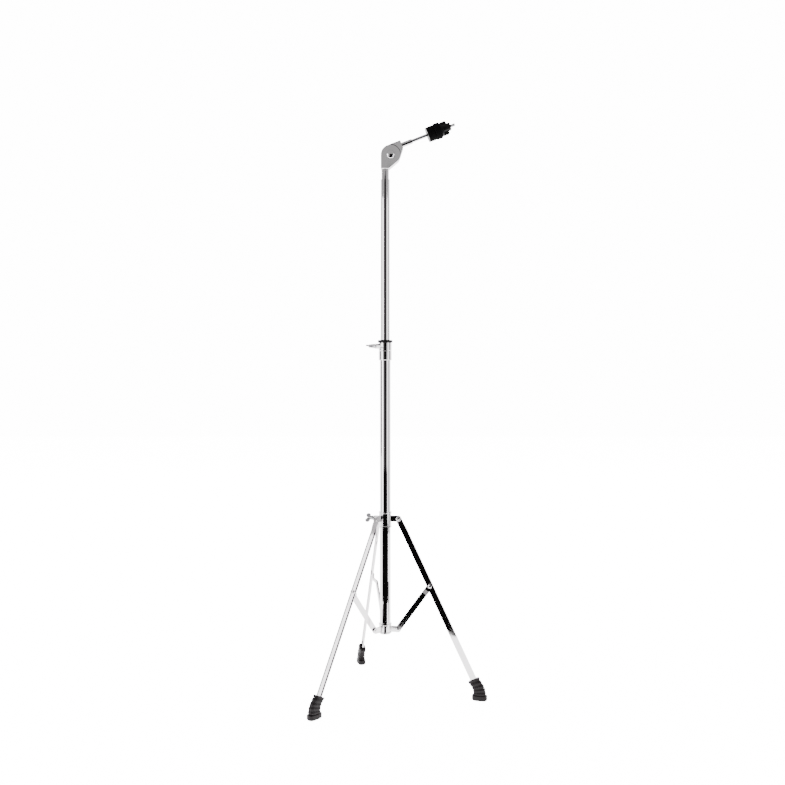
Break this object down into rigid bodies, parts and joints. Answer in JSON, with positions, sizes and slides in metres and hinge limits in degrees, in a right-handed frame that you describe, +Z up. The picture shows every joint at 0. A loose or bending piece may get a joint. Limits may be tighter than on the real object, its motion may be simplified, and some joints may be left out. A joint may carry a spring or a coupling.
{
  "type": "folding cymbal stand",
  "caption": "Folding tripod cymbal stand with pressed braced legs, ribbed rubber feet, a telescopic chrome mast, a tilter and a short cymbal rod with felts and a wing nut.",
  "frame": {"origin": "on the floor, in the middle of the rectangle that the three feet cover", "axes": "+Z up along the mast, +X towards the cymbal rod's side as pictured, +Y away from the camera"},
  "size_m": [0.3554, 0.3613, 1.183],
  "materials": {
    "chrome": "bright chrome plate",
    "screw_zinc": "bright zinc plate",
    "foot_rubber": "satin black rubber",
    "plastic": "black nylon",
    "felt": "pressed black felt"
  },
  "bodies": {
    "base": {"lower_tube": "chrome", "tube_end_plug": "plastic", "brace_hub": "chrome", "height_clamp": "chrome", "clamp_bush": "plastic", "hub_rivet_right": "chrome", "hub_rivet_left": "chrome", "hub_rivet_back": "chrome"},
    "leg_collar": {"leg_collar": "chrome", "leg_rivet_right": "chrome", "leg_rivet_left": "chrome", "leg_rivet_back": "chrome"},
    "collar_screw": {"collar_screw": "screw_zinc"},
    "leg_right": {"leg_right": "chrome", "foot_right": "foot_rubber"},
    "leg_left": {"leg_left": "chrome", "foot_left": "foot_rubber"},
    "leg_back": {"leg_back": "chrome", "foot_back": "foot_rubber"},
    "brace_right": {"brace_right": "chrome", "brace_rivet_right": "chrome"},
    "brace_left": {"brace_left": "chrome", "brace_rivet_left": "chrome"},
    "brace_back": {"brace_back": "chrome", "brace_rivet_back": "chrome"},
    "clamp_screw": {"clamp_screw": "screw_zinc"},
    "glide": {"glide_plug": "plastic"},
    "mast": {"upper_tube": "chrome", "tilter_lower": "chrome", "tilter_bolt": "chrome", "tilter_washer": "screw_zinc"},
    "tilter_nut": {"tilter_nut": "screw_zinc"},
    "arm": {"tilter_upper": "chrome", "cymbal_rod": "chrome", "seat_washer": "plastic", "cymbal_sleeve": "plastic", "lower_felt": "felt", "upper_felt": "felt"},
    "cymbal_nut": {"cymbal_nut": "plastic"}
  },
  "joints": [
    {"name": "leg_collar_slide", "type": "slide", "parent": "base", "child": "leg_collar", "axis": [0, 0, 1], "range_m": [0, 0.037]},
    {"name": "leg_right_fold", "type": "hinge", "parent": "leg_collar", "child": "leg_right", "pos_m": [-0.00193, -0.02922, 0.36221], "axis": [0.2521, 0.9677, 0], "range_deg": [0, 26]},
    {"name": "leg_left_fold", "type": "hinge", "parent": "leg_collar", "child": "leg_left", "pos_m": [-0.04785, -0.04187, 0.36221], "axis": [0.712, -0.7021, 0], "range_deg": [0, 26]},
    {"name": "leg_back_fold", "type": "hinge", "parent": "leg_collar", "child": "leg_back", "pos_m": [-0.03584, 0.00423, 0.36221], "axis": [-0.9641, -0.2656, 0], "range_deg": [0, 26]},
    {"name": "brace_right_fold", "type": "hinge", "parent": "base", "child": "brace_right", "pos_m": [-0.00193, -0.02922, 0.13372], "axis": [0.2521, 0.9677, 0], "range_deg": [-35.95, 0]},
    {"name": "brace_left_fold", "type": "hinge", "parent": "base", "child": "brace_left", "pos_m": [-0.04785, -0.04187, 0.13372], "axis": [0.712, -0.7021, 0], "range_deg": [-35.95, 0]},
    {"name": "brace_back_fold", "type": "hinge", "parent": "base", "child": "brace_back", "pos_m": [-0.03584, 0.00423, 0.13372], "axis": [-0.9641, -0.2656, 0], "range_deg": [-35.95, 0]},
    {"name": "collar_screw_turn", "type": "hinge", "parent": "leg_collar", "child": "collar_screw", "pos_m": [-0.02854, -0.02229, 0.36221], "axis": [-0.9677, 0.2521, 0], "continuous": true},
    {"name": "clamp_screw_turn", "type": "hinge", "parent": "base", "child": "clamp_screw", "pos_m": [-0.02854, -0.02229, 0.71811], "axis": [-0.866, -0.5, 0], "continuous": true},
    {"name": "height_slide", "type": "slide", "parent": "base", "child": "glide", "axis": [0, 0, 1], "range_m": [-0.325, 0.12]},
    {"name": "mast_swivel", "type": "hinge", "parent": "glide", "child": "mast", "pos_m": [-0.02854, -0.02229, 0.7], "axis": [0, 0, 1], "continuous": true},
    {"name": "arm_tilt", "type": "hinge", "parent": "mast", "child": "arm", "pos_m": [-0.01724, -0.02229, 1.11261], "axis": [0, 1, 0], "range_deg": [-94, 56]},
    {"name": "tilter_nut_turn", "type": "hinge", "parent": "mast", "child": "tilter_nut", "pos_m": [-0.01724, -0.01199, 1.11261], "axis": [0, 1, 0], "continuous": true},
    {"name": "cymbal_nut_turn", "type": "hinge", "parent": "arm", "child": "cymbal_nut", "pos_m": [0.08627, -0.02229, 1.1651], "axis": [0.9317, 0, 0.3633], "continuous": true}
  ],
  "couplings": [
    {"joint": "leg_right_fold", "follows": "leg_collar_slide", "rad_per_m": 12.264},
    {"joint": "leg_left_fold", "follows": "leg_collar_slide", "rad_per_m": 12.264},
    {"joint": "leg_back_fold", "follows": "leg_collar_slide", "rad_per_m": 12.264},
    {"joint": "brace_right_fold", "follows": "leg_collar_slide", "rad_per_m": -16.957},
    {"joint": "brace_left_fold", "follows": "leg_collar_slide", "rad_per_m": -16.957},
    {"joint": "brace_back_fold", "follows": "leg_collar_slide", "rad_per_m": -16.957}
  ]
}
